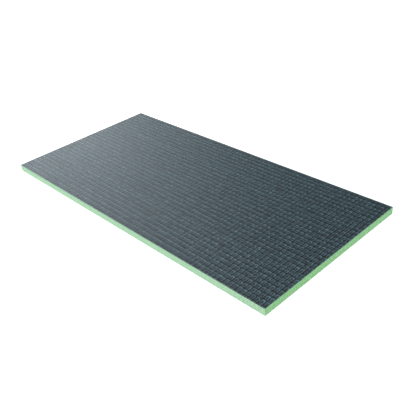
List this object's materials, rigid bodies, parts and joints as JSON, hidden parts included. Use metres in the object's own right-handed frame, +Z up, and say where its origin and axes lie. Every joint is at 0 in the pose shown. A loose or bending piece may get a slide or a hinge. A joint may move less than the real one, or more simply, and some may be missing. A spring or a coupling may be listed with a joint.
{
  "type": "foam tile backer board",
  "caption": "Flat rigid tile backer board: pale green extruded foam core with a thin dark grey mesh-reinforced cement facing bonded over each face.",
  "frame": {"origin": "centre of the underside, on the surface that the board lies on", "axes": "+X along the board's length, +Y across its width, +Z up through its thickness to the tile face"},
  "size_m": [1.25, 0.6, 0.025],
  "materials": {
    "foam": "saw-cut extruded polystyrene foam, pale green, fine closed cells, matt",
    "cement_facing": "polymer-modified cement over glass mesh, dark slate grey, finely waffled by the mesh, low sheen"
  },
  "bodies": {
    "root": {"foam_core": "foam", "top_facing": "cement_facing", "bottom_facing": "cement_facing"}
  },
  "joints": []
}
